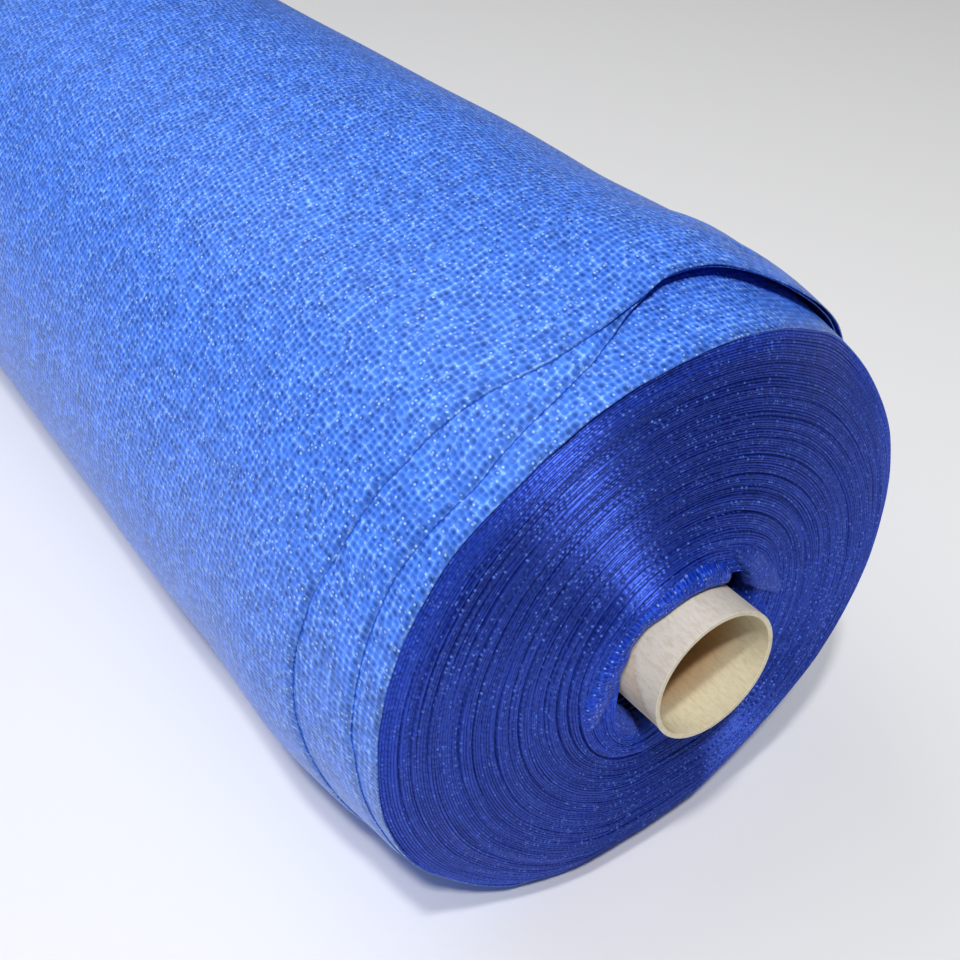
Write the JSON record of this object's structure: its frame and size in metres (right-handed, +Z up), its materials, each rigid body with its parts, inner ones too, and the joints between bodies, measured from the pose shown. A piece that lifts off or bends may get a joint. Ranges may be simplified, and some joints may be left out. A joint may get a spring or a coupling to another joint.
{
  "type": "roll of shade netting on a cardboard core",
  "caption": "Long roll of knitted shade netting wound on a cardboard core, lying on its side, with stepped selvedges and bunched cloth at the core.",
  "frame": {"origin": "on the surface the roll lies on, under the middle of its bounding box", "axes": "+X along the roll's axis towards the end with the stepped selvedges, +Z up"},
  "size_m": [1.88, 0.2668, 0.2621],
  "materials": {
    "netting": "knitted plastic yarn, slightly shiny",
    "core": "plain grey-brown board, matte"
  },
  "bodies": {
    "root": {"netting_roll": "netting", "core_tube": "core"}
  },
  "joints": []
}
